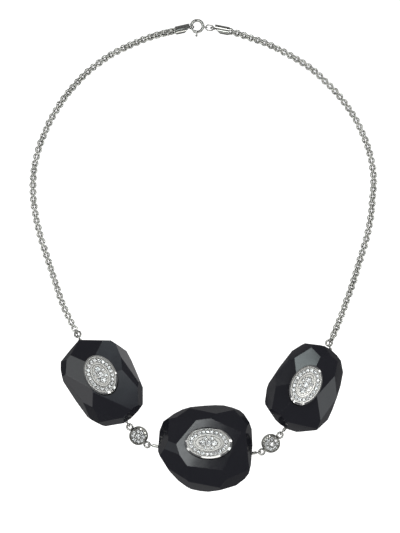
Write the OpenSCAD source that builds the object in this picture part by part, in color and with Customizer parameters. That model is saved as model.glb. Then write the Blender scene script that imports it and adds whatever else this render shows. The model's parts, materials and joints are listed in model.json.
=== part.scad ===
// Onyx necklace lying flat on its back: X to the right, Y toward the clasp, Z up from the surface

/* [Chain] */
// Outer diameter of each chain
chain_d = 2.3; // [1.6:0.1:3]
// Height of the chain's middle inside the end caps
chain_lift = 1.55; // [1.2:0.05:2]

/* [Stones] */
// Height at which the straight edge of each onyx starts
edge_low = 1.7; // [1:0.1:2.5]
// Slope of the back facets round the flat back
back_slope = 50; // [30:1:70]
// Height of a stone blank before its facets are cut
blank_h = 10; // [8:0.5:12]

/* [Settings] */
// Height of an oval setting over the floor of its pocket
setting_h = 3.4; // [2:0.1:4]
// Depth from the rims down to the metal that holds the stones
channel_depth = 0.5; // [0.3:0.05:0.8]
// Diameter of a border stone
border_d = 1.38; // [1:0.01:1.8]
// Diameter of the three large stones in each oval
field_d = 2.1; // [1.5:0.05:2.4]
// Diameter of the small stones between those
filler_d = 1.2; // [0.7:0.05:1.3]

/* [Clusters] */
// Radius of a round cluster at its foot
cluster_r = 3.5; // [3:0.1:4]
// Height of a round cluster
cluster_h = 2.4; // [1.8:0.1:3.2]
// How far a cluster is rolled outward about its loops
cluster_roll = 20; // [0:1:30]
// Distance from a cluster's middle to the middle of each loop
cluster_reach = 4.7; // [4.4:0.1:5.2]
// Diameter of the stone in a cluster's middle
cluster_middle_d = 2; // [1.5:0.05:2.2]
// Diameter of the stones round it
cluster_round_d = 1.4; // [1:0.05:1.6]

/* [Rings] */
// Mean radius of a soldered cluster loop
loop_r = 1.1; // [1:0.05:1.5]
// Mean radius of a peg's eye at the clusters
eye_r = 0.83; // [0.6:0.01:0.9]
// Mean radius of a peg's eye at the chains
top_eye_r = 0.83; // [0.5:0.01:0.9]
// Mean radius of a jump ring
jump_r = 1.15; // [1:0.01:1.6]
// Mean radius of the last link of a chain
link_r = 0.84; // [0.7:0.01:1]
// Radius of the wire of loops and jump rings
wire_r = 0.4; // [0.2:0.01:0.45]
// Radius of the wire of eyes and last links
thin_r = 0.28; // [0.18:0.01:0.3]
// Radius of a peg's shank
shank_r = 0.6; // [0.4:0.05:0.7]
// Least gap between two rings that pass through each other
ring_gap = 0.09; // [0.05:0.01:0.12]
// Gap round whatever sits in a drilled hole or pocket
fit_gap = 0.06; // [0.05:0.01:0.1]

/* [Clasp] */
// Mean radius of the spring ring
spring_r = 2.22; // [2:0.01:2.6]
// Radius of its tube
tube_r = 0.55; // [0.5:0.01:0.6]
// Radius of the bore in its tube
bore_r = 0.4; // [0.35:0.01:0.45]
// Radius of its bolt
bolt_r = 0.32; // [0.28:0.01:0.36]
// Radius of an end cap
cap_r = 1.57; // [1.4:0.01:1.8]
// Length of an end cap's barrel
cap_l = 5.6; // [4.5:0.1:6.5]
// Height of the spring ring's middle over the surface
clasp_z = 1; // [0.8:0.01:1.2]

/* [Hidden] */
$fn = 96;
far = 150;

// Middle of each onyx on the surface
LEFT_AT = [-38.6, -48.5];
CENTRE_AT = [0.9, -73.1];
RIGHT_AT = [38.2, -50.4];

// Corners of each onyx seen from above: x, y from its middle, clockwise
LEFT_EDGE = [
  [-8.7, 16.5], [3.4, 16.3], [6.6, 14.2], [9.4, 12.2], [11.2, 8.8], [13, 4.7], [15.6, -1.6],
  [15.6, -8], [13.9, -10.4], [11.1, -13.3], [8.4, -15.1], [1.5, -16.3], [0.3, -16], [-3.8, -13.9],
  [-5.5, -12.7], [-9.9, -6.7], [-14.6, 0.6], [-15.6, 5.2], [-15.6, 8.2], [-12, 12.7]
];
CENTRE_EDGE = [
  [-18.2, -1.1], [-17.6, 6.6], [-16.2, 10.1], [-12.2, 13], [-8.9, 14.7], [-5.8, 15.6], [-0.5, 16.1],
  [3.5, 16.3], [6.8, 16.2], [10.1, 15.4], [12.9, 14.3], [14.5, 12.9], [16.5, 9.9], [17.4, 7.3],
  [17.7, 1.1], [17.1, -6.3], [16.3, -9.6], [14.7, -11.7], [11.4, -14.2], [5.1, -15.9], [1, -16.6],
  [-2, -16.4], [-5.6, -15.6], [-7.4, -14.6], [-10.6, -12.2], [-13.9, -8.6], [-17.5, -2.8]
];
RIGHT_EDGE = [
  [0.3, 17.1], [6.1, 16.4], [7.8, 16], [10, 14.8], [12.4, 12.6], [13.9, 10.5], [14.8, 6.1], [13.8, 1],
  [12.5, -3], [10.7, -8.1], [9, -11.9], [4.6, -15.8], [-1.3, -16.5], [-3, -16.6], [-6.3, -15.5],
  [-9.1, -13.7], [-10.9, -12], [-13, -8.9], [-14.8, -6.1], [-14.9, -5], [-14.2, 0], [-13.5, 1.9],
  [-9.3, 8.2], [-4.6, 14.2], [-1.3, 16.3]
];

// Front facets of each onyx: direction that it falls toward, slope, height over the stone's middle
LEFT_FACETS = [
  [113, 24, 11.8], [65, 16, 9.5], [35, 27, 12], [25, 11, 9], [275, 14, 10.5], [265, 26, 13.2],
  [205, 28, 12], [145, 18, 10.5], [165, 40, 18], [225, 45, 17], [5, 52, 24], [35, 43, 17],
  [310, 52, 26.5], [275, 51, 24], [140, 56, 29], [215, 60, 24]
];
CENTRE_FACETS = [
  [0, 0, 9], [140, 17, 12], [98, 43, 19.5], [65, 28, 15], [335, 18, 12], [263, 17, 11.2],
  [197, 20, 12.7], [215, 27, 13.8], [168, 50, 25.5], [305, 45, 22], [260, 53, 25], [0, 60, 34.5],
  [90, 58, 29], [50, 54, 30.5], [230, 53, 25.5], [110, 59, 32]
];
RIGHT_FACETS = [
  [115, 15, 10], [70, 30, 15.5], [25, 12, 10], [340, 27, 12], [270, 14, 10], [170, 16, 10],
  [145, 21, 10.5], [120, 50, 21], [170, 43, 17], [140, 52, 21], [355, 49, 20], [50, 51, 26.5],
  [330, 53, 22], [260, 48, 22], [230, 54, 26]
];

// Oval settings: x, y, height of the pocket's floor, half length, half width, direction of the length,
// direction that it leans toward, lean, number of border stones
LEFT_OVAL = [-38.7, -45.7, 6.5, 8.0, 5.85, 120, 105, 14, 20];
CENTRE_OVAL = [1.92, -71.3, 7.5, 8.95, 5.92, -2, 98, 12, 21];
RIGHT_OVAL = [38.47, -49.4, 6.9, 8.15, 5.65, 60, 75, 10, 20];

// Clusters: x, y, direction from the middle to the second loop
CLUSTER_LEFT_AT = [-24.7, -68.5, -45.8];
CLUSTER_RIGHT_AT = [25.6, -71.4, 42.6];

// Where each peg enters its onyx: x, y
EDGE_LEFT_LOW = [-29.3, -62.9];
EDGE_CENTRE_LEFT = [-17.15, -72.5];
EDGE_CENTRE_RIGHT = [18.5, -75.1];
EDGE_RIGHT_LOW = [31.2, -65.4];
EDGE_LEFT_TOP = [-46.9, -32];
EDGE_RIGHT_TOP = [48.1, -35.5];
top_peg_z = 2.4;

// Chain routes from the end cap to the last link: x, y
LEFT_ROUTE = [
  [-8.4, 85.93], [-10.6, 85.45], [-14.5, 84.6], [-20, 83.1], [-25.5, 81], [-30.8, 78.6], [-35.6, 76],
  [-40, 73], [-44, 69.8], [-47.7, 66.1], [-50.9, 62.5], [-53.7, 58.8], [-56.2, 54.8], [-58.4, 51],
  [-60.2, 46.9], [-61.9, 42.8], [-63.2, 38.5], [-64.2, 34], [-64.7, 29.5], [-64.8, 24.8],
  [-64.5, 20], [-63.8, 15.2], [-62.8, 10.4], [-61.5, 5.6], [-60, 0.9], [-58.4, -3.8], [-56.9, -8.5],
  [-55.4, -13.2], [-53.8, -17.8], [-51.8, -22.4], [-49.05, -27.8]
];
RIGHT_ROUTE = [
  [7.5, 85.66], [9.7, 85.23], [13, 84.4], [17.9, 82.7], [22.6, 81.1], [27.1, 79.1], [31.4, 76.9],
  [35.6, 74.5], [39.6, 72], [43.4, 69], [46.8, 65.7], [50, 62.5], [52.9, 59], [55.5, 55.4],
  [57.9, 51.7], [59.9, 47.6], [61.7, 43.5], [63.1, 39.2], [64.1, 34.8], [64.7, 30.2], [64.6, 25.5],
  [64.2, 20.7], [63.8, 15.9], [63, 11.1], [61.9, 6.3], [60.5, 1.5], [59, -3.3], [57.6, -8], [56.1, -12.6],
  [54.4, -17.2], [52.8, -21.8], [51, -26.3], [49, -31.2]
];

// Middle of the spring ring: x, y
SPRING_AT = [-2.4, 87.2];
// Directions about it: ends of the gate, bolt tip and tail, knob, slot, fixed loop
gate_from = 172;
gate_to = 232;
bolt_tip = 170;
bolt_tail = 292;
knob_at = 265.6;
slot_from = 258;
slot_to = 336;
fixed_loop_at = -7;
fixed_loop_r = 0.55;
fixed_loop_wire = 0.18;
fixed_loop_out = 3.35;
cap_eye_r = 0.85;
cap_eye_lean = 30;
cap_eye_wire = 0.22;

// End caps: x, y of the chain's end, direction toward the eye, side that is cut away
CAP_LEFT = [-10.6, 85.45, 12.3, -1];
CAP_RIGHT = [9.7, 85.23, 169, 1];
cap_bore_l = 3;

function toward(a, b) = atan2(b[1] - a[1], b[0] - a[0]);
function step(p, dir, d) = [p[0] + d * cos(dir), p[1] + d * sin(dir)];
function reach(r1, w1, r2, w2) = r1 + r2 - w1 - w2 - ring_gap;
function cluster_axis_z() = cluster_h / 2 * cos(cluster_roll) + cluster_r * sin(cluster_roll);
function loop_at(c, side) = step(c, c[2], side * cluster_reach);
// Height of a cluster loop's wire on the side where a peg's eye holds it
function loop_z(c, dir) = cluster_axis_z() + loop_r * sin(dir - c[2]) * sin(cluster_roll);

module under_facet(f)
  translate([0, 0, f[2]]) rotate([0, f[1], f[0]])
    translate([-far / 2, -far / 2, -far]) cube([far, far, far]);

// Keeps what lies inside the back facet along one straight edge from a to b
module over_back_facet(a, b) {
  out = toward(a, b) + 90;
  translate([a[0], a[1], edge_low]) rotate([0, -back_slope, out])
    translate([-far, -far, 0]) cube([far * 2, far * 2, far]);
}

module stone_blank(edge, facets)
  intersection() {
    linear_extrude(blank_h) polygon(edge);
    intersection_for (f = facets) under_facet(f);
    intersection_for (i = [0 : len(edge) - 1]) over_back_facet(edge[i], edge[(i + 1) % len(edge)]);
  }

module oval(a, b, h) scale([a, b, 1]) cylinder(r = 1, h = h);

// Heights and table radius of a cut stone as shares of its diameter, and its lift over the metal
table_share = 0.29;
crown_share = 0.16;
girdle_share = 0.02;
pavilion_share = 0.42;
stone_raise = 0.03;

module at_oval(o)
  translate([o[0], o[1], o[2]])
    rotate([0, 0, o[6]]) rotate([0, o[7], 0]) rotate([0, 0, o[5] - o[6]])
      children();

module pocket(o)
  at_oval(o) translate([0, 0, -fit_gap]) oval(o[3] + fit_gap, o[4] + fit_gap, blank_h);

// Length of a peg inside its stone, and of the hole on both sides of the edge
shank_in = 2.1;
hole_in = 2.3;
hole_out = 2;
module peg_hole(from, dir, z)
  translate([from[0], from[1], z]) rotate([0, 90, dir])
    translate([0, 0, -hole_out]) cylinder(r = shank_r + fit_gap, h = hole_out + hole_in);

module onyx(at, edge, facets, o, holes)
  color([0.02, 0.02, 0.025])
    difference() {
      translate([at[0], at[1], 0]) stone_blank(edge, facets);
      pocket(o);
      for (h = holes) peg_hole(h[0], h[1], h[2]);
    }

// Share of the half axes at the rims of an oval setting
rim_in = 0.88;
inner_out = [0.61, 0.55];
inner_in = [0.555, 0.475];
row_at = [0.745, 0.715];
top_share = 0.91;
wall_h = 2.9;
function surface_z() = setting_h - channel_depth;

// Point on an ellipse for a share s of the way round, in degrees, at nearly even steps
even_steps = 14.3;
function oval_point(a, b, s) =
  let (k = (a * a - b * b) / (a * a + b * b), t = s + even_steps * k * sin(2 * s)) [a * cos(t), b * sin(t)];
function border_places(o) =
  [for (i = [0 : o[8] - 1]) oval_point(o[3] * row_at[0], o[4] * row_at[1], (i + 0.5) * 360 / o[8])];
field_step = 2.25;
filler_at = [1.15, 1.75];
FIELD_PLACES = [[-field_step, 0], [0, 0], [field_step, 0]];
FILLER_PLACES = [for (x = [-1, 1], y = [-1, 1]) [x * filler_at[0], y * filler_at[1]]];

module seats(places, d, z) {
  depth = pavilion_share * d + fit_gap;
  for (p = places) translate([p[0], p[1], z - depth]) cylinder(r = d / 2 + fit_gap, h = depth + 1);
}

module setting(o)
  color([0.86, 0.87, 0.88])
    at_oval(o) difference() {
      union() {
        oval(o[3], o[4], wall_h);
        translate([0, 0, wall_h]) scale([o[3], o[4], 1])
          cylinder(r1 = 1, r2 = top_share, h = setting_h - wall_h);
      }
      translate([0, 0, surface_z()]) difference() {
        oval(o[3] * rim_in, o[4] * rim_in, 1);
        translate([0, 0, -1]) oval(o[3] * inner_out[0], o[4] * inner_out[1], 3);
      }
      translate([0, 0, surface_z()]) oval(o[3] * inner_in[0], o[4] * inner_in[1], 1);
      seats(border_places(o), border_d, surface_z());
      seats(FIELD_PLACES, field_d, surface_z());
      seats(FILLER_PLACES, filler_d, surface_z());
    }

// Round stone with its girdle at z = 0: a table, 16 crown facets and 8 below
module cut_stone(d) {
  ring = [for (i = [0 : 7]) [cos(i * 45), sin(i * 45)] / 2];
  table = [for (i = [0 : 7]) [cos(i * 45 + 22.5), sin(i * 45 + 22.5)] * table_share];
  points = concat(
    [for (p = table) [p[0], p[1], crown_share]], [for (p = ring) [p[0], p[1], girdle_share]],
    [for (p = ring) [p[0], p[1], -girdle_share]], [[0, 0, -pavilion_share]]);
  faces = concat(
    [[for (i = [7 : -1 : 0]) i]],
    [for (i = [0 : 7]) [i, 8 + (i + 1) % 8, 8 + i]],
    [for (i = [0 : 7]) [i, (i + 1) % 8, 8 + (i + 1) % 8]],
    [for (i = [0 : 7]) [8 + i, 8 + (i + 1) % 8, 16 + (i + 1) % 8]],
    [for (i = [0 : 7]) [8 + i, 16 + (i + 1) % 8, 16 + i]],
    [for (i = [0 : 7]) [16 + i, 16 + (i + 1) % 8, 24]]);
  scale(d) polyhedron(points, faces);
}

module stones(places, d, z)
  color([0.93, 0.95, 0.97])
    for (p = places) translate([p[0], p[1], z + stone_raise]) cut_stone(d);

module border_stones(o) at_oval(o) stones(border_places(o), border_d, surface_z());

module field_stones(o)
  at_oval(o) {
    stones(FIELD_PLACES, field_d, surface_z());
    stones(FILLER_PLACES, filler_d, surface_z());
  }

module ring(r, w) rotate_extrude() translate([r, 0]) circle(r = w);

module at_cluster(c)
  translate([c[0], c[1], cluster_axis_z()]) rotate([0, 0, c[2]]) rotate([cluster_roll, 0, 0])
    translate([0, 0, -cluster_h / 2]) children();

cluster_rim = 0.45;
cluster_bevel = 0.35;
cluster_sunk = 0.3;
round_count = 8;
round_out = 2.05;
CLUSTER_ROUND = [for (i = [0 : round_count - 1]) step([0, 0], i * 360 / round_count, round_out)];

module cluster(c)
  color([0.86, 0.87, 0.88])
    at_cluster(c) {
      difference() {
        union() {
          cylinder(r = cluster_r, h = cluster_h - cluster_bevel);
          translate([0, 0, cluster_h - cluster_bevel])
            cylinder(r1 = cluster_r, r2 = cluster_r - cluster_bevel, h = cluster_bevel);
        }
        translate([0, 0, cluster_h - cluster_sunk]) cylinder(r = cluster_r - cluster_rim, h = 1);
        seats(CLUSTER_ROUND, cluster_round_d, cluster_h - cluster_sunk);
        seats([[0, 0]], cluster_middle_d, cluster_h - cluster_sunk);
      }
      for (s = [-1, 1]) translate([s * cluster_reach, 0, cluster_h / 2]) ring(loop_r, wire_r);
    }

module cluster_stones(c)
  at_cluster(c) {
    stones(CLUSTER_ROUND, cluster_round_d, cluster_h - cluster_sunk);
    stones([[0, 0]], cluster_middle_d, cluster_h - cluster_sunk);
  }

// Eye standing on edge at a point, with its shank running off in a direction for a length
module eye_peg(at, z, dir, r, length)
  color([0.86, 0.87, 0.88])
    translate([at[0], at[1], z]) rotate([0, 0, dir]) {
      rotate([90, 0, 0]) ring(r, thin_r);
      translate([r, 0, 0]) rotate([0, 90, 0]) cylinder(r = shank_r, h = length);
    }

// Peg from a cluster's loop into the edge of an onyx
module low_peg(c, side, edge) {
  l = loop_at(c, side);
  dir = toward(l, edge);
  out = reach(loop_r, wire_r, eye_r, thin_r);
  to_edge = norm([edge[0] - l[0], edge[1] - l[1]]);
  eye_peg(step(l, dir, out), loop_z(c, dir), dir, eye_r, to_edge - out - eye_r + shank_in);
}
function low_hole(c, side, edge) =
  let (dir = toward(loop_at(c, side), edge)) [edge, dir, loop_z(c, dir)];

// Peg at the top of a side stone, its jump ring, and the chain's last link
top_out = 1.18;
left_top_dir = 118;
right_top_dir = 100;
jump_dip = 24;
left_jump_dir = 108;
right_jump_dir = 100;
left_link_dir = 122;
right_link_dir = 62;
left_link_roll = -18;
right_link_roll = 20;
function top_eye(edge, dir) = step(edge, dir, top_out);
function jump_out() = reach(top_eye_r, thin_r, jump_r, wire_r);
function jump_at(edge, dir, jdir) =
  let (e = step(top_eye(edge, dir), jdir, jump_out() * cos(jump_dip)))
  [e[0], e[1], top_peg_z - jump_out() * sin(jump_dip)];
function link_at(j, jdir, ldir) =
  let (a = ldir - jdir, d = reach(jump_r, wire_r, link_r, thin_r))
  let (s = step(step(j, jdir, d * cos(a) * cos(jump_dip)), jdir + 90, d * sin(a)))
  [s[0], s[1], j[2] - d * cos(a) * sin(jump_dip)];

module top_peg(edge, dir)
  eye_peg(top_eye(edge, dir), top_peg_z, dir + 180, top_eye_r, top_out - top_eye_r + shank_in);

module jump_ring(edge, dir, jdir)
  color([0.86, 0.87, 0.88])
    translate(jump_at(edge, dir, jdir)) rotate([0, jump_dip, jdir]) ring(jump_r, wire_r);

// Chain as a tube of 8 sides along a route, with its last link through the jump ring
function ring_z(i) = i < 2 ? chain_lift : i == 2 ? (chain_lift + chain_d / 2) / 2 : chain_d / 2;
function along(route, i) =
  let (a = route[max(i - 1, 0)], b = route[min(i + 1, len(route) - 1)]) toward(a, b);

module tube(route) {
  sides = 8;
  points = [for (i = [0 : len(route) - 1], k = [0 : sides - 1])
    let (t = along(route, i), q = (k + 0.5) * 360 / sides, r = chain_d / 2 / cos(180 / sides))
    [route[i][0] - r * cos(q) * sin(t), route[i][1] + r * cos(q) * cos(t), ring_z(i) + r * sin(q)]];
  last = (len(route) - 1) * sides;
  faces = concat(
    [[for (k = [0 : sides - 1]) k]],
    [[for (k = [sides - 1 : -1 : 0]) last + k]],
    [for (i = [0 : len(route) - 2], k = [0 : sides - 1], h = [0, 1])
      let (a = i * sides + k, b = i * sides + (k + 1) % sides)
      h == 0 ? [a, a + sides, b] : [b, a + sides, b + sides]]);
  polyhedron(points, faces);
}

module chain(route, edge, dir, jdir, ldir, roll)
  color([0.8, 0.81, 0.82]) {
    tube(route);
    translate(link_at(jump_at(edge, dir, jdir), jdir, ldir)) rotate([0, 0, ldir]) rotate([90 - roll, 0, 0])
      ring(link_r, thin_r);
  }

cap_gap = 0.2;
cap_eye_out = 0.62;
cut_angle = 38;
cut_back = 2.4;
cut_off = 0.55;
module end_cap(c)
  color([0.86, 0.87, 0.88])
    translate([c[0], c[1], cap_r]) rotate([0, 0, c[2]]) {
      difference() {
        rotate([0, 90, 0]) cylinder(r = cap_r, h = cap_l);
        translate([-1, 0, 0]) rotate([0, 90, 0]) cylinder(r = chain_d / 2 + cap_gap, h = cap_bore_l + 1);
        translate([cap_l - cut_back, c[3] * cap_r, 0]) rotate([0, 0, -c[3] * cut_angle])
          translate([-far, c[3] > 0 ? 0 : -far, -far / 2]) cube([far * 2, far, far]);
      }
      translate([cap_l + cap_eye_out, 0, clasp_z - cap_r]) rotate([90 - cap_eye_lean, 0, 0])
        ring(cap_eye_r, cap_eye_wire);
    }

module arc_tube(r, w, from, to)
  rotate([0, 0, from]) rotate_extrude(angle = to - from) translate([r, 0]) circle(r = w);

slot_half = 0.3;
module clasp_ring()
  color([0.86, 0.87, 0.88])
    translate([SPRING_AT[0], SPRING_AT[1], clasp_z]) {
      difference() {
        arc_tube(spring_r, tube_r, gate_to - 360, gate_from);
        arc_tube(spring_r, bore_r, gate_to - 361, gate_from + 1);
        rotate([0, 0, slot_from]) rotate_extrude(angle = slot_to - slot_from)
          translate([spring_r, -slot_half]) square([1, slot_half * 2]);
      }
      rotate([0, 0, fixed_loop_at]) translate([fixed_loop_out, 0, 0]) rotate([90, 0, 0])
        ring(fixed_loop_r, fixed_loop_wire);
    }

knob_r = 0.43;
knob_out = 3.62;
knob_gap = 0.12;
neck_r = 0.3;
stem_r = 0.22;
module clasp_bolt()
  color([0.86, 0.87, 0.88])
    translate([SPRING_AT[0], SPRING_AT[1], clasp_z]) {
      arc_tube(spring_r, bolt_r, bolt_tip, bolt_tail);
      rotate([0, 0, knob_at]) {
        translate([spring_r, 0, 0]) rotate([0, 90, 0]) cylinder(r = stem_r, h = tube_r + knob_gap * 2);
        translate([spring_r + tube_r + knob_gap, 0, 0]) rotate([0, 90, 0])
          cylinder(r = neck_r, h = knob_out - spring_r - tube_r - knob_gap);
        translate([knob_out, 0, 0]) sphere(r = knob_r);
      }
    }

// Oval link between the spring ring's fixed loop and the right cap's eye
clasp_link_r = 1.03;
clasp_link_wire = 0.22;
clasp_link_past = 0.2;
module clasp_link() {
  a = step(SPRING_AT, fixed_loop_at, fixed_loop_out);
  b = step(CAP_RIGHT, CAP_RIGHT[2], cap_l + cap_eye_out);
  dir = toward(a, b);
  from = step(a, dir, reach(fixed_loop_r, fixed_loop_wire, 0, clasp_link_wire) * -1 + clasp_link_r);
  to = step(b, dir, clasp_link_past - clasp_link_r);
  half = norm([to[0] - from[0], to[1] - from[1]]);
  color([0.86, 0.87, 0.88])
    translate([from[0], from[1], clasp_z]) rotate([0, 0, dir]) {
      arc_tube(clasp_link_r, clasp_link_wire, 90, 270);
      translate([half, 0, 0]) arc_tube(clasp_link_r, clasp_link_wire, -90, 90);
      for (s = [-1, 1]) translate([0, s * clasp_link_r, 0]) rotate([0, 90, 0])
        cylinder(r = clasp_link_wire, h = half);
    }
}

onyx(LEFT_AT, LEFT_EDGE, LEFT_FACETS, LEFT_OVAL,  // onyx_left
    [low_hole(CLUSTER_LEFT_AT, -1, EDGE_LEFT_LOW), [EDGE_LEFT_TOP, left_top_dir + 180, top_peg_z]]);
onyx(CENTRE_AT, CENTRE_EDGE, CENTRE_FACETS, CENTRE_OVAL,  // onyx_centre
    [low_hole(CLUSTER_LEFT_AT, 1, EDGE_CENTRE_LEFT), low_hole(CLUSTER_RIGHT_AT, -1, EDGE_CENTRE_RIGHT)]);
onyx(RIGHT_AT, RIGHT_EDGE, RIGHT_FACETS, RIGHT_OVAL,  // onyx_right
    [low_hole(CLUSTER_RIGHT_AT, 1, EDGE_RIGHT_LOW), [EDGE_RIGHT_TOP, right_top_dir + 180, top_peg_z]]);
setting(LEFT_OVAL);  // setting_left
setting(CENTRE_OVAL);  // setting_centre
setting(RIGHT_OVAL);  // setting_right
border_stones(LEFT_OVAL);  // border_stones_left
border_stones(CENTRE_OVAL);  // border_stones_centre
border_stones(RIGHT_OVAL);  // border_stones_right
field_stones(LEFT_OVAL);  // field_stones_left
field_stones(CENTRE_OVAL);  // field_stones_centre
field_stones(RIGHT_OVAL);  // field_stones_right
cluster(CLUSTER_LEFT_AT);  // cluster_left
cluster(CLUSTER_RIGHT_AT);  // cluster_right
cluster_stones(CLUSTER_LEFT_AT);  // cluster_stones_left
cluster_stones(CLUSTER_RIGHT_AT);  // cluster_stones_right
top_peg(EDGE_LEFT_TOP, left_top_dir);  // peg_left_top
low_peg(CLUSTER_LEFT_AT, -1, EDGE_LEFT_LOW);  // peg_left_low
low_peg(CLUSTER_LEFT_AT, 1, EDGE_CENTRE_LEFT);  // peg_centre_left
low_peg(CLUSTER_RIGHT_AT, -1, EDGE_CENTRE_RIGHT);  // peg_centre_right
low_peg(CLUSTER_RIGHT_AT, 1, EDGE_RIGHT_LOW);  // peg_right_low
top_peg(EDGE_RIGHT_TOP, right_top_dir);  // peg_right_top
jump_ring(EDGE_LEFT_TOP, left_top_dir, left_jump_dir);  // jump_ring_left
jump_ring(EDGE_RIGHT_TOP, right_top_dir, right_jump_dir);  // jump_ring_right
chain(LEFT_ROUTE, EDGE_LEFT_TOP, left_top_dir, left_jump_dir, left_link_dir, left_link_roll);  // chain_left
chain(RIGHT_ROUTE, EDGE_RIGHT_TOP, right_top_dir, right_jump_dir, right_link_dir, right_link_roll);  // chain_right
end_cap(CAP_LEFT);  // end_cap_left
end_cap(CAP_RIGHT);  // end_cap_right
clasp_link();
clasp_ring();
clasp_bolt();
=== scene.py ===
import json
import math

import bmesh
import bpy
from mathutils import Matrix, Vector

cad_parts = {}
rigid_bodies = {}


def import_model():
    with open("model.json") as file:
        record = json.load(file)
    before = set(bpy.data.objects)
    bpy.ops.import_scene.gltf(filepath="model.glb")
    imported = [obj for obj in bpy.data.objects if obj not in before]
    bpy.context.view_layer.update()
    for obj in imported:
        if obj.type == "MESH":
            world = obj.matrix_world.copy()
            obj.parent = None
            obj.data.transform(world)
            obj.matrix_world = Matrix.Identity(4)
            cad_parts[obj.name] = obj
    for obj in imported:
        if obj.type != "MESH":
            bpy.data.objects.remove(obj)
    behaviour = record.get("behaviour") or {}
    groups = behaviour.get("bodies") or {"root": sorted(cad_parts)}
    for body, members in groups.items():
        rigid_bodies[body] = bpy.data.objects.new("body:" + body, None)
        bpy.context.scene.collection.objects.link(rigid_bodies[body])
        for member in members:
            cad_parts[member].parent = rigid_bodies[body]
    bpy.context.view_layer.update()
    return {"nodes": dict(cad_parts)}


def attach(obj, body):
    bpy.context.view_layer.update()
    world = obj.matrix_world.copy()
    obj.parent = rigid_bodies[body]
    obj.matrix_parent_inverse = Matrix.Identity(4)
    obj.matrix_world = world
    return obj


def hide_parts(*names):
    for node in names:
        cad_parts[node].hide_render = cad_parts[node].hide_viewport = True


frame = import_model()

MM = 0.001
NODES = frame["nodes"]


def link_up(obj):
    """Puts an object into the scene."""
    bpy.context.scene.collection.objects.link(obj)
    return obj


def shape(name, bm):
    """Turns finished mesh code into an object in the scene."""
    mesh = bpy.data.meshes.new(name)
    bm.to_mesh(mesh)
    bm.free()
    return link_up(bpy.data.objects.new(name, mesh))


def turned(deg, axis):
    return Matrix.Rotation(math.radians(deg), 4, axis)


# Camera: straight down at the middle of the photograph, with a long lens. Lens and sensor in mm.

PHOTO_MIDDLE = Vector((-1.33, -4.18, 2)) * MM
PHOTO_HEIGHT = 202.5 * MM
LENS, SENSOR = 200, 36
NEAREST, FARTHEST = 0.05, 20

camera_data = bpy.data.cameras.new("camera")
camera_data.lens = LENS
camera_data.sensor_width = SENSOR
camera_data.clip_start = NEAREST
camera_data.clip_end = FARTHEST
camera = link_up(bpy.data.objects.new("camera", camera_data))
camera.location = PHOTO_MIDDLE + Vector((0, 0, PHOTO_HEIGHT * LENS / SENSOR))
bpy.context.scene.camera = camera


# Nodes of the materials and of the repeated pieces

class Value:
    """A node's output. In a sum, product, power or remainder it adds a Math node to its tree."""

    def __init__(self, owner, socket):
        self.owner = owner
        self.socket = socket

    def math(self, operation, a, b):
        return self.owner.add("ShaderNodeMath", {"operation": operation}, {0: a, 1: b})

    def __add__(self, other):
        return self.math("ADD", self, other)

    def __radd__(self, other):
        return self.math("ADD", other, self)

    def __mul__(self, other):
        return self.math("MULTIPLY", self, other)

    def __rmul__(self, other):
        return self.math("MULTIPLY", other, self)

    def __pow__(self, other):
        return self.math("POWER", self, other)

    def __rpow__(self, other):
        return self.math("POWER", other, self)

    def __mod__(self, other):
        return self.math("MODULO", self, other)

    def __rmod__(self, other):
        return self.math("MODULO", other, self)


class NodeTree:
    """A tree of nodes, with the one method that adds them."""

    def __init__(self, tree):
        self.tree = tree

    def add(self, kind, settings=None, sockets=None, output=0):
        """Adds a node: its settings first, then a value, a link or a list of links for each socket."""
        node = self.tree.nodes.new(kind)
        for key, value in (settings or {}).items():
            setattr(node, key, value)
        for key, value in (sockets or {}).items():
            for one in value if isinstance(value, list) else [value]:
                if isinstance(one, Value):
                    self.tree.links.new(one.socket, node.inputs[key])
                else:
                    node.inputs[key].default_value = one
        return Value(self, node.outputs[output]) if node.outputs else None


# Finishes: every length is in mm, and every pattern lies on the object's own coordinates

class Finish(NodeTree):
    """The nodes of one material."""

    def __init__(self, name):
        self.material = bpy.data.materials.new(name)
        self.material.use_nodes = True
        super().__init__(self.material.node_tree)
        self.tree.nodes.clear()
        self.place = self.add("ShaderNodeTexCoord", output="Object")

    def noise(self, size, detail, rough=0.5):
        """Noise between 0 and 1, with lumps about as wide as size."""
        return self.add("ShaderNodeTexNoise", {}, {
            "Vector": self.place, "Scale": 1 / (size * MM), "Detail": detail, "Roughness": rough})

    def bump(self, height, depth, strength, normal):
        return self.add("ShaderNodeBump", {}, {
            "Height": height, "Distance": depth * MM, "Strength": strength, "Normal": normal})

    def soft_edges(self, radius):
        return self.add("ShaderNodeBevel", {"samples": 4}, {"Radius": radius * MM})

    def colours(self, mask, dark, light):
        """Goes from one colour to the other as the mask goes from 0 to 1."""
        start, end = [colour if isinstance(colour, Value) else (*colour, 1) for colour in (dark, light)]
        return self.add("ShaderNodeMix", {"data_type": "RGBA"}, {0: mask, 6: start, 7: end}, output=2)

    def surface(self, sockets):
        """Ends the material in one Principled shader."""
        shader = self.add("ShaderNodeBsdfPrincipled", {}, sockets)
        self.add("ShaderNodeOutputMaterial", {}, {"Surface": shader})
        return self.material


# Black of the onyx, faint clouds in it, and a haze that roughens its polish
ONYX_DARK, ONYX_LIGHT = (0.014, 0.0145, 0.02), (0.02, 0.02, 0.026)
CLOUD_SIZE, HAZE_SIZE = 9, 2.5
ONYX_ROUGH, HAZE_ROUGH = 0.06, 0.08
ONYX_INDEX, ONYX_EDGE = 1.54, 0.12
# Slow waves in the polished facets, and fine scratches: size, depth and strength
WAVE_SIZE, WAVE_DEPTH, WAVE_STRENGTH = 16, 0.22, 0.5
SCRATCH_SIZE, SCRATCH_DEPTH, SCRATCH_STRENGTH = 0.25, 0.0006, 0.3


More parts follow.
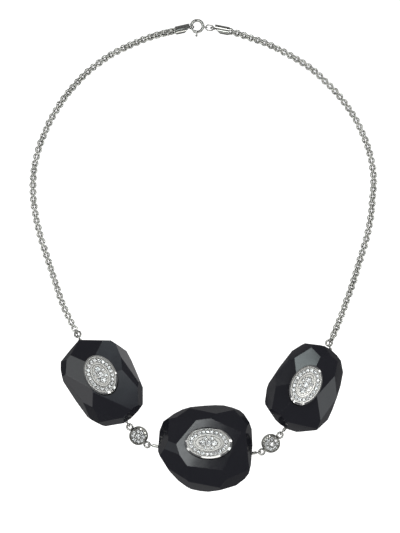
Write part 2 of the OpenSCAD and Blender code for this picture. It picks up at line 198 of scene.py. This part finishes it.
def polished_onyx():
    """Black polish with soft edges between the facets."""
    f = Finish("polished_onyx")
    cloud = f.noise(CLOUD_SIZE, detail=3)
    haze = f.noise(HAZE_SIZE, detail=4, rough=0.6)
    waves = f.noise(WAVE_SIZE, detail=1)
    scratches = f.noise(SCRATCH_SIZE, detail=2)
    wavy = f.bump(waves, WAVE_DEPTH, WAVE_STRENGTH, f.soft_edges(ONYX_EDGE))
    return f.surface({
        "Base Color": f.colours(cloud, ONYX_DARK, ONYX_LIGHT),
        "Roughness": ONYX_ROUGH + haze * HAZE_ROUGH,
        "IOR": ONYX_INDEX,
        "Normal": f.bump(scratches, SCRATCH_DEPTH, SCRATCH_STRENGTH, wavy),
    })


# Painted shade in recesses: colour of the metal deep in a recess and how fast it darkens towards it, and
# its tint seen almost edge on
RECESS_SHADE_COLOUR, RECESS_SHADE_FALL = (0.06, 0.06, 0.055), 2.2
EDGE_TINT = (0.35, 0.35, 0.33, 1)
STAIN_SIZE = 1.6
MARK_ROUGH, MARK_STRENGTH = 0.1, 0.6


def white_metal(name, dark, light, rough, mark_size, mark_depth, edge, recess):
    """Polished white metal: slow change of colour, fine marks, soft edges and painted shade darkening its
    recesses.
    """
    f = Finish(name)
    stains = f.noise(STAIN_SIZE, detail=3)
    marks = f.noise(mark_size, detail=3, rough=0.6)
    openness = f.add("ShaderNodeAmbientOcclusion", {"samples": 8}, {"Distance": recess * MM}, output="AO")
    unshaded_colour = f.colours(stains, dark, light)
    return f.surface({
        # Painted shade: the base colour is painted darker where the metal is hemmed in by nearby
        # surfaces, in recesses and between parts
        "Base Color": f.colours(openness ** RECESS_SHADE_FALL, RECESS_SHADE_COLOUR, unshaded_colour),
        "Metallic": 1.0,
        "Specular Tint": EDGE_TINT,
        "Roughness": rough + marks * MARK_ROUGH,
        "Normal": f.bump(marks, mark_depth, MARK_STRENGTH, f.soft_edges(edge)),
    })


GEM_COOL, GEM_WARM, GEM_TINT_SIZE = (0.9, 0.93, 0.95), (1, 0.99, 0.97), 1.4
GEM_ROUGH, GEM_INDEX = 0.01, 2.2


def clear_gem():
    """Clear stone, slightly cooler in one and warmer in the next."""
    f = Finish("clear_gem")
    tint = f.noise(GEM_TINT_SIZE, detail=0)
    return f.surface({
        "Base Color": f.colours(tint, GEM_COOL, GEM_WARM),
        "Roughness": GEM_ROUGH,
        "IOR": GEM_INDEX,
        "Transmission Weight": 1.0,
    })


ONYX = polished_onyx()
# One white metal in three brightnesses as painted light: the chain's colour is painted lighter, and that
# of the clusters, pegs, caps, rings and clasp painted darker, than the settings'
SETTING_METAL = white_metal(
    "white_metal", dark=(0.72, 0.72, 0.7), light=(0.88, 0.88, 0.86), rough=0.06,
    mark_size=0.35, mark_depth=0.003, edge=0.12, recess=0.5)
RING_METAL = white_metal(
    "ring_metal", dark=(0.48, 0.48, 0.45), light=(0.66, 0.66, 0.62), rough=0.05,
    mark_size=0.35, mark_depth=0.0012, edge=0.05, recess=0.5)
CHAIN_METAL = white_metal(
    "chain_metal", dark=(0.86, 0.86, 0.8), light=(0.98, 0.98, 0.93), rough=0.1,
    mark_size=0.3, mark_depth=0.003, edge=0.05, recess=0.32)
GEM = clear_gem()

FINISHES = {"onyx": ONYX, "setting": SETTING_METAL, "chain": CHAIN_METAL}


def node_finish(name):
    """Finish of a solid, told from its name. Clusters, pegs, caps, rings and clasp share one metal."""
    return GEM if "stones" in name else FINISHES.get(name.split("_")[0], RING_METAL)


for name, node in NODES.items():
    node.data.materials.clear()
    node.data.materials.append(node_finish(name))


# Repeated pieces

class Recipe(NodeTree):
    """The nodes that repeat a piece, with named inputs and the material as the last of them."""

    def __init__(self, name, inputs):
        super().__init__(bpy.data.node_groups.new(name, "GeometryNodeTree"))
        self.ids = {}
        ends = self.tree.interface
        ends.new_socket("Geometry", in_out="INPUT", socket_type="NodeSocketGeometry")
        for key, kind in {**inputs, "Material": "Material"}.items():
            made = ends.new_socket(key, in_out="INPUT", socket_type="NodeSocket" + kind)
            self.ids[key] = made.identifier
        ends.new_socket("Geometry", in_out="OUTPUT", socket_type="NodeSocketGeometry")
        self.start = self.tree.nodes.new("NodeGroupInput")

    def given(self, key):
        return Value(self, self.start.outputs[key])

    def finish(self, geometry):
        real = self.add("GeometryNodeRealizeInstances", {}, {"Geometry": geometry})
        done = self.add("GeometryNodeSetMaterial", {}, {
            "Geometry": real, "Material": self.given("Material")})
        self.add("NodeGroupOutput", {}, {0: done})


def dress(obj, recipe, values):
    """Runs a recipe on an object once and leaves its result as a plain mesh."""
    modifier = obj.modifiers.new("recipe", "NODES")
    modifier.node_group = recipe.tree
    for key, value in values.items():
        modifier[recipe.ids[key]] = value
    bpy.context.view_layer.update()
    made = bpy.data.meshes.new_from_object(obj.evaluated_get(bpy.context.evaluated_depsgraph_get()))
    name = obj.name
    bpy.data.objects.remove(obj)
    made.name = name
    return link_up(bpy.data.objects.new(name, made))


# Cut stones, as shares of the girdle's diameter

TABLE_R, STAR_R, GIRDLE_R, LOW_R = 0.29, 0.405, 0.5, 0.12
CROWN_H, GIRDLE_H, PAVILION_H = 0.16, 0.02, 0.42


def brilliant():
    """Round brilliant of girdle diameter 1: table, stars, kites, halves, girdle and pavilion."""
    bm = bmesh.new()

    def ring(count, r, z, start=0.0):
        turns = [(i + start) * 2 * math.pi / count for i in range(count)]
        return [bm.verts.new((r * math.cos(t), r * math.sin(t), z)) for t in turns]

    half = math.cos(math.pi / 8)
    fall = (CROWN_H - GIRDLE_H) / (GIRDLE_R - TABLE_R)
    rise = (PAVILION_H - GIRDLE_H) / GIRDLE_R
    table = ring(8, TABLE_R, CROWN_H)
    stars = ring(8, STAR_R, CROWN_H - (STAR_R * half - TABLE_R) * fall, 0.5)
    upper = ring(16, GIRDLE_R, GIRDLE_H)
    lower = ring(16, GIRDLE_R, -GIRDLE_H)
    deep = ring(8, LOW_R, LOW_R * half * rise - PAVILION_H, 0.5)
    tip = bm.verts.new((0, 0, -PAVILION_H))
    bm.faces.new(table)
    for i in range(8):
        j, g = (i + 1) % 8, 2 * i
        bm.faces.new((table[j], table[i], stars[i]))
        bm.faces.new((table[i], stars[i - 1], upper[g], stars[i]))
        bm.faces.new((stars[i], upper[g], upper[g + 1]))
        bm.faces.new((stars[i], upper[g + 1], upper[(g + 2) % 16]))
        bm.faces.new((tip, deep[i], lower[g], deep[i - 1]))
        bm.faces.new((deep[i], lower[g + 1], lower[g]))
        bm.faces.new((deep[i], lower[(g + 2) % 16], lower[g + 1]))
    for g in range(16):
        h = (g + 1) % 16
        bm.faces.new((upper[g], lower[g], lower[h], upper[h]))
    bmesh.ops.recalc_face_normals(bm, faces=bm.faces)
    return shape("brilliant", bm)


def grain_bead():
    """A small rounded grain of metal, of diameter 1."""
    bm = bmesh.new()
    bmesh.ops.create_icosphere(bm, subdivisions=2, radius=0.5)
    for face in bm.faces:
        face.smooth = True
    return shape("grain_bead", bm)


# How far a stone may tip or turn in its seat, in radians, before the wobble of its set scales it
WOBBLE = Vector((1, 1, 30))


def set_recipe():
    """Puts a copy of a small piece on each point, at the point's own size, turned a little at random."""
    r = Recipe("set_pieces", {"Piece": "Object", "Turn": "Rotation", "Wobble": "Float", "Seed": "Int"})
    size = r.add("GeometryNodeInputNamedAttribute", {"data_type": "FLOAT"}, {"Name": "size"})
    piece = r.add("GeometryNodeObjectInfo", {}, {"Object": r.given("Piece")}, output="Geometry")
    tilt = r.add("FunctionNodeRandomValue", {"data_type": "FLOAT_VECTOR"}, {
        "Min": -WOBBLE, "Max": WOBBLE, "Seed": r.given("Seed")})
    tilt = r.add("ShaderNodeVectorMath", {"operation": "SCALE"}, {0: tilt, "Scale": r.given("Wobble")})
    small = r.add("FunctionNodeEulerToRotation", {}, {0: tilt})
    turn = r.add("FunctionNodeRotateRotation", {"rotation_space": "LOCAL"}, {
        "Rotation": r.given("Turn"), "Rotate By": small})
    copies = r.add("GeometryNodeInstanceOnPoints", {}, {
        "Points": r.given("Geometry"), "Instance": piece, "Rotation": turn, "Scale": size})
    r.finish(copies)
    return r


def points(name, places):
    """Mesh of loose points from rows of position and size."""
    mesh = bpy.data.meshes.new(name)
    mesh.from_pydata([place for place, _ in places], [], [])
    sizes = mesh.attributes.new("size", "FLOAT", "POINT")
    for i, (_, size) in enumerate(places):
        sizes.data[i].value = size
    return link_up(bpy.data.objects.new(name, mesh))


# Oval settings, as the solids have them: middle of the underside, half length and half width in mm,
# direction of the length, direction and amount of the lean in degrees, stones in the border row
OVALS = {
    "left": dict(at=(-38.7, -45.7, 6.5), a=8.0, b=5.85, along=120, lean_to=105, lean=14, stones=20),
    "centre": dict(at=(1.92, -71.3, 7.5), a=8.95, b=5.92, along=-2, lean_to=98, lean=12, stones=21),
    "right": dict(at=(38.47, -49.4, 6.9), a=8.15, b=5.65, along=60, lean_to=75, lean=10, stones=20),
}
SURFACE_Z, STONE_RAISE, GRAIN_RAISE = 2.9, 0.03, 0.05
# Border row as shares of the half length and half width, and what spaces its stones evenly, in degrees
ROW_AT, EVEN_SPACING = (0.745, 0.715), 14.3
BORDER_D, FIELD_D, FILLER_D = 1.38, 2.1, 1.2
FIELD_STEP, FILLER_AT = 2.25, (1.15, 1.75)
# Grains of metal. On the border row: distance out from the row, diameter. Inside: x, y, diameter.
ROW_GRAINS = ((0.43, 0.36), (-0.4, 0.3))
TIP_GRAIN = (3.6, 0.42)
CORNER_GRAINS = ((1.13, 0.74, 0.4), (2.35, 1.45, 0.5), (3.3, 0.78, 0.38))
WAIST_GRAIN = (1.42, 0.46)

# Clusters, as the solids have them: x, y, direction
CLUSTERS = {"left": (-24.7, -68.5, -45.8), "right": (25.6, -71.4, 42.6)}
CLUSTER_R, CLUSTER_H, CLUSTER_ROLL, CLUSTER_SUNK = 3.5, 2.4, 20, 0.3
ROUND_COUNT, ROUND_OUT, ROUND_D, MIDDLE_D = 8, 2.05, 1.38, 2
# Grains of metal between the round stones: distance from the middle, diameter
CLUSTER_GRAINS = ((2.72, 0.42), (1.32, 0.34))


def oval_place(o):
    """Place of an oval's underside, leant and then turned to its own length."""
    lean = turned(o["lean_to"], "Z") @ turned(o["lean"], "Y")
    return Matrix.Translation(o["at"]) @ lean @ turned(o["along"] - o["lean_to"], "Z")


def cluster_place(x, y, direction):
    """Place of a cluster's underside, rolled about its own direction until its low edge meets z 0."""
    roll = math.radians(CLUSTER_ROLL)
    z = CLUSTER_H / 2 * math.cos(roll) + CLUSTER_R * math.sin(roll)
    base = Matrix.Translation((0, 0, -CLUSTER_H / 2))
    return Matrix.Translation((x, y, z)) @ turned(direction, "Z") @ turned(CLUSTER_ROLL, "X") @ base


def row_point(o, share):
    """Point of the border row, with share as an angle that goes evenly round it."""
    a, b = o["a"] * ROW_AT[0], o["b"] * ROW_AT[1]
    flat = (a * a - b * b) / (a * a + b * b)
    t = math.radians(share + EVEN_SPACING * flat * math.sin(math.radians(2 * share)))
    return a * math.cos(t), b * math.sin(t)


def put_set(name, piece, place, z, rows, finish, seed, wobble=0.0, instead_of=None):
    """Sets a piece on each row of x, y and diameter in mm, at height z of a tilted place."""
    places = [(place @ Vector((x, y, z)) * MM, size * MM) for x, y, size in rows]
    made = dress(points(name, places), SET_PIECES, {
        "Piece": piece, "Turn": place.to_euler(), "Wobble": wobble, "Seed": seed, "Material": finish})
    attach(made, "necklace")
    if instead_of:
        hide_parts(instead_of)


def put_stones(name, place, z, rows, seed, wobble, instead_of):
    """Cut stones in place of the plain ones of a solid, with their girdles just above its face."""
    put_set(name, STONE, place, z + STONE_RAISE, rows, GEM, seed, wobble, instead_of)


def put_grains(name, place, z, rows, finish, seed):
    """Grains of metal that are nearly half sunk in the face of a setting or cluster."""
    put_set(name, BEAD, place, z + GRAIN_RAISE, rows, finish, seed)


def oval_grains(o, step):
    """Grains on both sides of the border row and between the stones of the field."""
    rows = []
    for i in range(o["stones"]):
        x, y = row_point(o, i * step)
        out = Vector((x / o["a"] ** 2, y / o["b"] ** 2)).normalized()
        rows += [(x + out.x * reach, y + out.y * reach, size) for reach, size in ROW_GRAINS]
    for x in (-1, 1):
        rows.append((x * TIP_GRAIN[0], 0, TIP_GRAIN[1]))
        for y in (-1, 1):
            rows += [(x * gx, y * gy, size) for gx, gy, size in CORNER_GRAINS]
    return rows + [(0, y * WAIST_GRAIN[0], WAIST_GRAIN[1]) for y in (1, -1)]


def oval(side, o):
    """Stones and grains of one oval setting."""
    place = oval_place(o)
    step = 360 / o["stones"]
    border = [(*row_point(o, (i + 0.5) * step), BORDER_D) for i in range(o["stones"])]
    field = [(FIELD_STEP * i, 0, FIELD_D) for i in (-1, 0, 1)]
    field += [(x * FILLER_AT[0], y * FILLER_AT[1], FILLER_D) for x in (-1, 1) for y in (-1, 1)]
    put_stones("border_cut_" + side, place, SURFACE_Z, border, seed=3, wobble=0.05,
               instead_of="border_stones_" + side)
    put_stones("field_cut_" + side, place, SURFACE_Z, field, seed=5, wobble=0.04,
               instead_of="field_stones_" + side)
    put_grains("grains_" + side, place, SURFACE_Z, oval_grains(o, step), SETTING_METAL, seed=7)


def cluster(side, x, y, direction):
    """Stones and grains of one cluster: one stone in the middle and a ring round it."""
    place = cluster_place(x, y, direction)
    top = CLUSTER_H - CLUSTER_SUNK
    stones, grains = [(0, 0, MIDDLE_D)], []
    for i in range(ROUND_COUNT):
        t = 2 * math.pi * i / ROUND_COUNT
        between = t + math.pi / ROUND_COUNT
        stones.append((ROUND_OUT * math.cos(t), ROUND_OUT * math.sin(t), ROUND_D))
        grains += [(reach * math.cos(between), reach * math.sin(between), size)
                   for reach, size in CLUSTER_GRAINS]
    put_stones("cluster_cut_" + side, place, top, stones, seed=11, wobble=0.05,
               instead_of="cluster_stones_" + side)
    put_grains("cluster_grains_" + side, place, top, grains, RING_METAL, seed=13)


SET_PIECES = set_recipe()
STONE = brilliant()
BEAD = grain_bead()

for side, o in OVALS.items():
    oval(side, o)
for side, (x, y, direction) in CLUSTERS.items():
    cluster(side, x, y, direction)


# Chain of paired rings, in mm

CHAIN_D, PITCH = 2.3, 1.36
LINK_R, LINK_WIRE, LINK_SIDES, WIRE_SIDES = 1.06, 0.28, 16, 6
PAIR_OFFSET = 0.42
# Height of the chain's middle inside the end cap, from where it comes down to lie flat
CAP_Z = 1.55
# Turn of the links about the chain at the end cap, and how much further they turn up to the stone
ROLLS = {"left": (70, 22), "right": (14, -26)}
# How far a pair of links may turn out of line, in radians
LINK_LOOSE = Vector((0.12, 0.05, 0.05))
LEFT_ROUTE = [
    (-8.4, 85.93), (-10.6, 85.45), (-14.5, 84.6), (-20, 83.1), (-25.5, 81), (-30.8, 78.6), (-35.6, 76),
    (-40, 73), (-44, 69.8), (-47.7, 66.1), (-50.9, 62.5), (-53.7, 58.8), (-56.2, 54.8), (-58.4, 51),
    (-60.2, 46.9), (-61.9, 42.8), (-63.2, 38.5), (-64.2, 34), (-64.7, 29.5), (-64.8, 24.8),
    (-64.5, 20), (-63.8, 15.2), (-62.8, 10.4), (-61.5, 5.6), (-60, 0.9), (-58.4, -3.8), (-56.9, -8.5),
    (-55.4, -13.2), (-53.8, -17.8), (-51.8, -22.4), (-49.05, -27.8),
]
RIGHT_ROUTE = [
    (7.5, 85.66), (9.7, 85.23), (13, 84.4), (17.9, 82.7), (22.6, 81.1), (27.1, 79.1), (31.4, 76.9),
    (35.6, 74.5), (39.6, 72), (43.4, 69), (46.8, 65.7), (50, 62.5), (52.9, 59), (55.5, 55.4),
    (57.9, 51.7), (59.9, 47.6), (61.7, 43.5), (63.1, 39.2), (64.1, 34.8), (64.7, 30.2), (64.6, 25.5),
    (64.2, 20.7), (63.8, 15.9), (63, 11.1), (61.9, 6.3), (60.5, 1.5), (59, -3.3), (57.6, -8),
    (56.1, -12.6), (54.4, -17.2), (52.8, -21.8), (51, -26.3), (49, -31.2),
]


def chain_recipe():
    """Pairs of round links along a curve, each pair a quarter turn from the last."""
    r = Recipe("paired_links", {
        "Pitch": "Float", "Link": "Float", "Wire": "Float", "Roll": "Float", "Twist": "Float",
        "Seed": "Int"})
    circle, profile = [
        r.add("GeometryNodeCurvePrimitiveCircle", {}, {"Resolution": sides, "Radius": r.given(radius)})
        for sides, radius in ((LINK_SIDES, "Link"), (WIRE_SIDES, "Wire"))]
    link = r.add("GeometryNodeCurveToMesh", {}, {"Curve": circle, "Profile Curve": profile})
    link = r.add("GeometryNodeSetShadeSmooth", {}, {"Geometry": link})
    pair = [
        r.add("GeometryNodeTransform", {}, {"Geometry": link, "Translation": (0, 0, offset * MM)})
        for offset in (PAIR_OFFSET, -PAIR_OFFSET)]
    both = r.add("GeometryNodeJoinGeometry", {}, {0: pair})
    row = r.add("GeometryNodeResampleCurve", {"mode": "LENGTH"}, {
        "Curve": r.given("Geometry"), "Length": r.given("Pitch")})
    tangent = r.add("GeometryNodeInputTangent")
    along = r.add("FunctionNodeAlignRotationToVector", {"axis": "X"}, {"Vector": tangent})
    odd = r.add("GeometryNodeInputIndex") % 2
    part_way = r.add("GeometryNodeSplineParameter")
    turn = odd * (math.pi / 2) + r.given("Roll") + part_way * r.given("Twist")
    loose = r.add("FunctionNodeRandomValue", {"data_type": "FLOAT_VECTOR"}, {
        "Min": -LINK_LOOSE, "Max": LINK_LOOSE, "Seed": r.given("Seed")})
    spin = r.add("ShaderNodeVectorMath", {"operation": "ADD"}, {
        0: loose, 1: r.add("ShaderNodeCombineXYZ", {}, {"X": turn})})
    facing = r.add("FunctionNodeRotateRotation", {"rotation_space": "LOCAL"}, {
        "Rotation": along, "Rotate By": r.add("FunctionNodeEulerToRotation", {}, {0: spin})})
    copies = r.add("GeometryNodeInstanceOnPoints", {}, {
        "Points": row, "Instance": both, "Rotation": facing})
    r.finish(copies)
    return r


def route_curve(name, route):
    """Smooth curve through the route, lifted into the end cap at its start."""
    data = bpy.data.curves.new(name, "CURVE")
    data.dimensions = "3D"
    data.resolution_u = 8
    line = data.splines.new("BEZIER")
    line.bezier_points.add(len(route) - 1)
    flat_z = CHAIN_D / 2
    start = (CAP_Z, CAP_Z, (CAP_Z + flat_z) / 2)
    for i, (x, y) in enumerate(route):
        point = line.bezier_points[i]
        point.co = Vector((x, y, start[i] if i < len(start) else flat_z)) * MM
        point.handle_left_type = point.handle_right_type = "AUTO"
    return link_up(bpy.data.objects.new(name, data))


def chain(side, route):
    """Links in place of the solid tube of one side."""
    roll, twist = [math.radians(angle) for angle in ROLLS[side]]
    made = dress(route_curve("links_" + side, route), PAIRED_LINKS, {
        "Pitch": PITCH * MM, "Link": LINK_R * MM, "Wire": LINK_WIRE * MM, "Roll": roll, "Twist": twist,
        "Seed": 2, "Material": CHAIN_METAL})
    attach(made, "necklace")
    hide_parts("chain_" + side)


PAIRED_LINKS = chain_recipe()
chain("left", LEFT_ROUTE)
chain("right", RIGHT_ROUTE)

# Last link of each chain, through the jump ring: x, y, z of its middle in mm, direction, roll
END_LINKS = {"left": (-48.41, -28.97, 1.43, 122, -18), "right": (48.29, -32.25, 1.52, 62, 20)}
END_LINK_R, END_LINK_WIRE = 0.84, 0.28
END_LINK_SIDES, END_WIRE_SIDES = 24, 10


def flat_ring(r, wire, around, across):
    """Points and faces of a wire ring that lies flat."""
    corners, faces = [], []
    for i in range(around):
        t = 2 * math.pi * i / around
        for k in range(across):
            q = 2 * math.pi * k / across
            reach = r + wire * math.cos(q)
            corners.append((reach * math.cos(t), reach * math.sin(t), wire * math.sin(q)))
            a, b = i * across, (i + 1) % around * across
            n = (k + 1) % across
            faces.append((a + k, b + k, b + n, a + n))
    return corners, faces


def end_link(side, x, y, z, direction, roll):
    """A smooth ring that stands on its edge, rolled about its direction."""
    mesh = bpy.data.meshes.new("end_link_" + side)
    corners, faces = flat_ring(END_LINK_R, END_LINK_WIRE, END_LINK_SIDES, END_WIRE_SIDES)
    mesh.from_pydata(corners, [], faces)
    mesh.polygons.foreach_set("use_smooth", [True] * len(faces))
    upright = turned(direction, "Z") @ turned(90 - roll, "X")
    mesh.transform(Matrix.Scale(MM, 4) @ Matrix.Translation((x, y, z)) @ upright)
    mesh.materials.append(RING_METAL)
    made = link_up(bpy.data.objects.new("end_link_" + side, mesh))
    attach(made, "necklace")
    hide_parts("chain_" + side)


for side, place in END_LINKS.items():
    end_link(side, *place)

# The stone and the grain that were copied aren't part of the necklace themselves
for spare in (STONE, BEAD):
    bpy.data.objects.remove(spare)


# Ground and light

GROUND_HALF = 1500
GROUND_SHADE, GROUND_ROUGH = 0.3, 0.9
# Glow of the floor: to the necklace, far off and in a soft pool under the stones, and to the camera
GROUND_FAR, GROUND_NEAR, GROUND_WHITE = 0.03, 0.3, 1.0
# Middle and half sizes of the pool in mm, and the shares of them where it starts to fade and ends
POOL_MIDDLE, POOL_HALF = Vector((0, -58, 0)), Vector((95, 62, 1000))
POOL_FADE, POOL_END = 0.6, 1.1


def ground():
    """Pale floor that the camera sees as plain white, and that the metal mirrors as dark."""
    bm = bmesh.new()
    bmesh.ops.create_grid(bm, x_segments=1, y_segments=1, size=GROUND_HALF * MM)
    floor = shape("ground", bm)
    f = Finish("white_ground")
    seen = f.add("ShaderNodeLightPath", output="Is Camera Ray")
    off = f.add("ShaderNodeVectorMath", {"operation": "SUBTRACT"}, {0: f.place, 1: POOL_MIDDLE * MM})
    share = f.add("ShaderNodeVectorMath", {"operation": "DIVIDE"}, {0: off, 1: POOL_HALF * MM})
    reach = f.add("ShaderNodeVectorMath", {"operation": "LENGTH"}, {0: share}, output="Value")
    pool = f.add("ShaderNodeMapRange", {"interpolation_type": "SMOOTHSTEP"}, {
        "Value": reach, "From Min": POOL_FADE, "From Max": POOL_END, "To Min": GROUND_NEAR,
        "To Max": GROUND_FAR})
    floor.data.materials.append(f.surface({
        "Base Color": (GROUND_SHADE, GROUND_SHADE, GROUND_SHADE, 1),
        "Roughness": GROUND_ROUGH,
        "Emission Color": seen * GROUND_WHITE + pool,
        "Emission Strength": 1.0,
    }))


# Height of nearly all panels in mm, and their plain and slightly warm whites
HIGH = 350
WHITE, SOFT_WHITE, WARM_WHITE, OVAL_WHITE = (1, 1, 1), (1, 1, 0.98), (1, 1, 0.97), (1, 1, 0.96)
# Soft panels that face the necklace: x, y, z, width, depth in mm, brightness, colour
PANELS = {
    # Seen in single facets of the onyx
    "top": (-38, 109, HIGH, 42, 60, 4.7, (0.88, 1, 1)),
    "middle": (-39, -98, HIGH, 66, 80, 4.6, (0.95, 1, 1)),
    "blue_low": (68, 8, HIGH, 50, 50, 0.85, (0.83, 0.94, 1)),
    "blue_high": (46, 161, HIGH, 34, 44, 0.9, (0.83, 0.94, 1)),
    "left": (-275, 90, HIGH, 100, 80, 1.5, (0.96, 1, 0.99)),
    "far_left": (-560, -306, HIGH, 160, 140, 1.1, WHITE),
    "far_right": (496, -226, HIGH, 160, 140, 1.5, (0.95, 1, 1)),
    "low_left": (-295, -185, HIGH, 60, 60, 0.55, (0.9, 0.97, 1)),
    "side_north_east": (1660, 1120, 220, 400, 300, 2.2, WHITE),
    "side_west": (-2000, 220, 200, 300, 90, 0.6, WHITE),
    # Seen in the flat tops of the ovals and clusters
    "oval_left": (-97, 116, HIGH, 45, 45, 0.7, OVAL_WHITE),
    "oval_centre": (-20, 50, HIGH, 40, 36, 0.75, OVAL_WHITE),
    "oval_right": (82, 60, HIGH, 44, 44, 0.6, OVAL_WHITE),
    "cluster_left": (-241, -291, HIGH, 60, 60, 0.35, OVAL_WHITE),
    "cluster_right": (235, -316, HIGH, 60, 60, 0.5, OVAL_WHITE),
    # Sparks in the clear stones and on the grains
    "spark_south_east": (310, -330, HIGH, 56, 56, 5, WHITE),
    "spark_south": (150, -470, HIGH, 60, 60, 5, WHITE),
    "spark_south_west": (-310, -390, HIGH, 56, 56, 5, WHITE),
    "low_east": (700, 330, HIGH, 150, 150, 4, WHITE),
    "low_west": (-720, 260, HIGH, 150, 150, 4, WHITE),
    "low_north": (-260, 760, HIGH, 150, 150, 3, WHITE),
    # Seen in bevels, caps, rings and chain
    "near_west": (-80, 20, HIGH, 76, 84, 2.0, WARM_WHITE),
    "north": (70, 270, HIGH, 160, 110, 1.0, WARM_WHITE),
    "near_east": (126, 44, HIGH, 46, 90, 2.3, WARM_WHITE),
    "far_south": (40, -780, HIGH, 560, 185, 1.3, SOFT_WHITE),
    "slope_east": (267, 205, HIGH, 50, 50, 2.0, SOFT_WHITE),
    "slope_west": (-268, 203, HIGH, 50, 50, 2.0, SOFT_WHITE),
    "north_west": (-110, 230, HIGH, 96, 84, 2.0, WARM_WHITE),
    "east": (400, 50, HIGH, 130, 140, 3.0, WARM_WHITE),
    "south_east": (150, -110, HIGH, 84, 84, 2.2, WARM_WHITE),
    "south_west": (-150, -160, HIGH, 100, 90, 2.0, WARM_WHITE),
    "west": (-360, -50, HIGH, 110, 100, 3.0, WARM_WHITE),
    "south": (130, -400, HIGH, 130, 110, 2.4, WARM_WHITE),
    "spark_north": (40, 380, HIGH, 60, 60, 8, WHITE),
    "spark_east": (335, -60, HIGH, 50, 50, 8, WHITE),
}


def light_panel(name, x, y, z, width, depth, glow, tint):
    """Rectangular light facing the necklace; glow is its brightness as a surface."""
    data = bpy.data.lights.new(name, "AREA")
    data.shape = "RECTANGLE"
    data.size, data.size_y = width * MM, depth * MM
    data.energy = glow * math.pi * data.size * data.size_y
    data.color = tint
    panel = link_up(bpy.data.objects.new(name, data))
    panel.location = Vector((x, y, z)) * MM
    panel.rotation_euler = panel.location.to_track_quat("Z", "Y").to_euler()
    panel.visible_camera = False


SKY_COLOUR, SKY_GLOW = (0.93, 0.94, 1, 1), 0.14


def studio_sky():
    """Faint even light from all round."""
    world = bpy.data.worlds.new("studio")
    world.use_nodes = True
    sky = world.node_tree.nodes["Background"]
    sky.inputs["Color"].default_value = SKY_COLOUR
    sky.inputs["Strength"].default_value = SKY_GLOW
    bpy.context.scene.world = world


ground()
for name, panel in PANELS.items():
    light_panel("panel_" + name, *panel)
studio_sky()
bpy.context.scene.view_settings.view_transform = "Standard"
